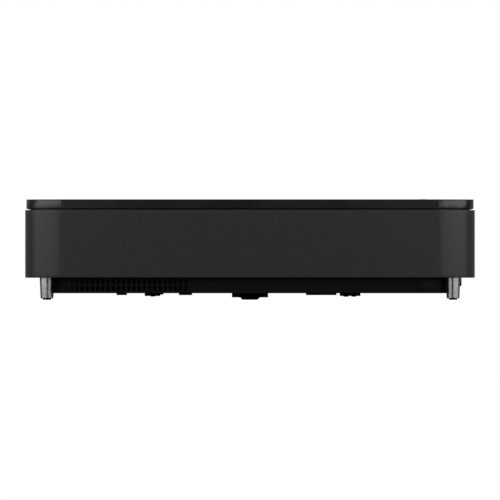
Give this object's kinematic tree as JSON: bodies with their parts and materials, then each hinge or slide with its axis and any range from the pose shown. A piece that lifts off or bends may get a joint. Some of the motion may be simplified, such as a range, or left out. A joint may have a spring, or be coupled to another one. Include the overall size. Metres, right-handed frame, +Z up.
{
  "type": "home projector",
  "caption": "Wide, low ultra-short-throw projector with a cloth front, a lid with a recessed projection window, sockets at the rear and levelling feet.",
  "frame": {"origin": "middle of the footprint, on the surface that the feet stand on", "axes": "+X along the width, to the right as seen from the cloth front; +Y from the front to the rear, where the sockets are; +Z up"},
  "size_m": [0.695, 0.341, 0.1556],
  "materials": {
    "box_plastic": "moulded",
    "button_plastic": "satin",
    "case_plastic": "fine moulded texture",
    "cast_aluminium": "cast",
    "circuit_board": "solder mask",
    "cloth": "dark grey speaker cloth",
    "cone_paper": "pulp cone",
    "copper": null,
    "engine_black": "black anodised look",
    "fan_black": "moulded",
    "filter_fabric": "pleated fleece",
    "foot_metal": "satin gunmetal",
    "gear_plastic": "acetal",
    "gloss_black": "polished",
    "lid_plastic": "satin, fine grain",
    "mirror_coat": "aluminised",
    "motor_steel": "plain",
    "optic_glass": "polished",
    "pad_rubber": "matt",
    "panel_glass": "polished",
    "phosphor": "phosphor ring",
    "pin_brass": "plain",
    "plain_aluminium": "plain",
    "recess_black": "matt, anti-glare",
    "screw_steel": "black zinc",
    "sensor_red": "infrared window",
    "socket_black": "moulded",
    "socket_steel": "plated sheet",
    "tray_plastic": "fine moulded texture",
    "window_glass": "coated glass"
  },
  "bodies": {
    "cabinet": {"lower_case": "tray_plastic", "base_tray": "tray_plastic", "base_grille": "tray_plastic", "front_frame": "case_plastic", "front_fabric": "cloth", "left_side_panel": "case_plastic", "right_side_panel": "case_plastic", "rear_panel": "case_plastic", "port_panel": "tray_plastic", "top_cover": "lid_plastic", "top_plate": "gloss_black", "window_tub": "recess_black", "window_glass": "window_glass", "presence_sensors": "sensor_red", "button_board": "circuit_board", "ac_inlet": "socket_black", "inlet_pins": "pin_brass", "hdmi_sockets": "socket_steel", "usb_sockets": "socket_steel", "audio_sockets": "socket_black", "case_screws": "screw_steel", "case_posts": "plain_aluminium", "chassis": "plain_aluminium", "laser_module": "cast_aluminium", "laser_heatsink": "plain_aluminium", "heat_pipes": "copper", "wheel_motor": "motor_steel", "relay_housing": "engine_black", "engine_housing": "engine_black", "prism": "optic_glass", "lcd_panels": "panel_glass", "lens_barrel": "engine_black", "lens_elements": "optic_glass", "focus_motor": "motor_steel", "mirror": "mirror_coat", "mirror_bracket": "cast_aluminium", "exhaust_fan_frames": "fan_black", "intake_fan_frame": "fan_black", "main_board": "circuit_board", "power_board": "circuit_board", "speaker_boxes": "box_plastic", "speaker_frames": "motor_steel"},
    "power_button": {"power_button": "button_plastic"},
    "foot_pad_left": {"front_foot_pad_left": "pad_rubber"},
    "foot_left": {"front_foot_left": "foot_metal"},
    "foot_pad_right": {"front_foot_pad_right": "pad_rubber"},
    "foot_right": {"front_foot_right": "foot_metal"},
    "foot_pad_rear": {"rear_foot_pad": "pad_rubber"},
    "foot_rear": {"rear_foot": "tray_plastic"},
    "filter_unit": {"filter_cover": "case_plastic", "air_filter": "filter_fabric"},
    "phosphor_wheel": {"phosphor_wheel": "phosphor"},
    "exhaust_rotor_front": {"exhaust_rotor_front": "fan_black"},
    "exhaust_rotor_rear": {"exhaust_rotor_rear": "fan_black"},
    "intake_rotor": {"intake_rotor": "fan_black"},
    "focus_ring": {"focus_ring": "gear_plastic"},
    "focus_pinion": {"focus_pinion": "gear_plastic"},
    "cone_left": {"speaker_cone_left": "cone_paper"},
    "cone_right": {"speaker_cone_right": "cone_paper"},
    "cone_middle": {"woofer_cone": "cone_paper"}
  },
  "joints": [
    {"name": "power_press", "type": "slide", "parent": "cabinet", "child": "power_button", "axis": [0, 0, 1], "range_m": [-0.0012, 0], "stiffness_N_per_m": 1200, "springref_m": 0.0006},
    {"name": "foot_left_height", "type": "slide", "parent": "cabinet", "child": "foot_pad_left", "axis": [0, 0, 1], "range_m": [-0.0075, 0]},
    {"name": "foot_left_turn", "type": "hinge", "parent": "foot_pad_left", "child": "foot_left", "pos_m": [-0.3136, -0.1385, 0.0022], "axis": [0, 0, 1], "range_deg": [-2160, 0]},
    {"name": "foot_right_height", "type": "slide", "parent": "cabinet", "child": "foot_pad_right", "axis": [0, 0, 1], "range_m": [-0.0075, 0]},
    {"name": "foot_right_turn", "type": "hinge", "parent": "foot_pad_right", "child": "foot_right", "pos_m": [0.3136, -0.1385, 0.0022], "axis": [0, 0, 1], "range_deg": [-2160, 0]},
    {"name": "foot_rear_height", "type": "slide", "parent": "cabinet", "child": "foot_pad_rear", "axis": [0, 0, 1], "range_m": [-0.005, 0]},
    {"name": "foot_rear_turn", "type": "hinge", "parent": "foot_pad_rear", "child": "foot_rear", "pos_m": [0, 0.125, 0.0022], "axis": [0, 0, 1], "range_deg": [-1440, 0]},
    {"name": "filter_pull", "type": "slide", "parent": "cabinet", "child": "filter_unit", "axis": [1, 0, 0], "range_m": [0, 0.06]},
    {"name": "phosphor_spin", "type": "hinge", "parent": "cabinet", "child": "phosphor_wheel", "pos_m": [-0.17, 0.07, 0.104], "axis": [1, 0, 0], "continuous": true},
    {"name": "exhaust_front_spin", "type": "hinge", "parent": "cabinet", "child": "exhaust_rotor_front", "pos_m": [-0.34, -0.05, 0.0834], "axis": [1, 0, 0], "continuous": true},
    {"name": "exhaust_rear_spin", "type": "hinge", "parent": "cabinet", "child": "exhaust_rotor_rear", "pos_m": [-0.34, 0.046, 0.0834], "axis": [1, 0, 0], "continuous": true},
    {"name": "intake_spin", "type": "hinge", "parent": "cabinet", "child": "intake_rotor", "pos_m": [0.3, 0, 0.0834], "axis": [1, 0, 0], "continuous": true},
    {"name": "focus_turn", "type": "hinge", "parent": "cabinet", "child": "focus_ring", "pos_m": [0, 0.005, 0.078], "axis": [0, 1, 0], "range_deg": [0, 60]},
    {"name": "pinion_turn", "type": "hinge", "parent": "cabinet", "child": "focus_pinion", "pos_m": [0.045, 0.005, 0.078], "axis": [0, 1, 0], "range_deg": [-240, 0]},
    {"name": "cone_left_travel", "type": "slide", "parent": "cabinet", "child": "cone_left", "axis": [0, 1, 0], "range_m": [-0.0015, 0.0015], "stiffness_N_per_m": 1500},
    {"name": "cone_right_travel", "type": "slide", "parent": "cabinet", "child": "cone_right", "axis": [0, 1, 0], "range_m": [-0.0015, 0.0015], "stiffness_N_per_m": 1500},
    {"name": "cone_middle_travel", "type": "slide", "parent": "cabinet", "child": "cone_middle", "axis": [0, 1, 0], "range_m": [-0.0015, 0.0015], "stiffness_N_per_m": 1500}
  ],
  "couplings": [
    {"joint": "foot_left_turn", "follows": "foot_left_height", "rad_per_m": 5026.5},
    {"joint": "foot_right_turn", "follows": "foot_right_height", "rad_per_m": 5026.5},
    {"joint": "foot_rear_turn", "follows": "foot_rear_height", "rad_per_m": 5026.5},
    {"joint": "pinion_turn", "follows": "focus_turn", "ratio": -4}
  ]
}
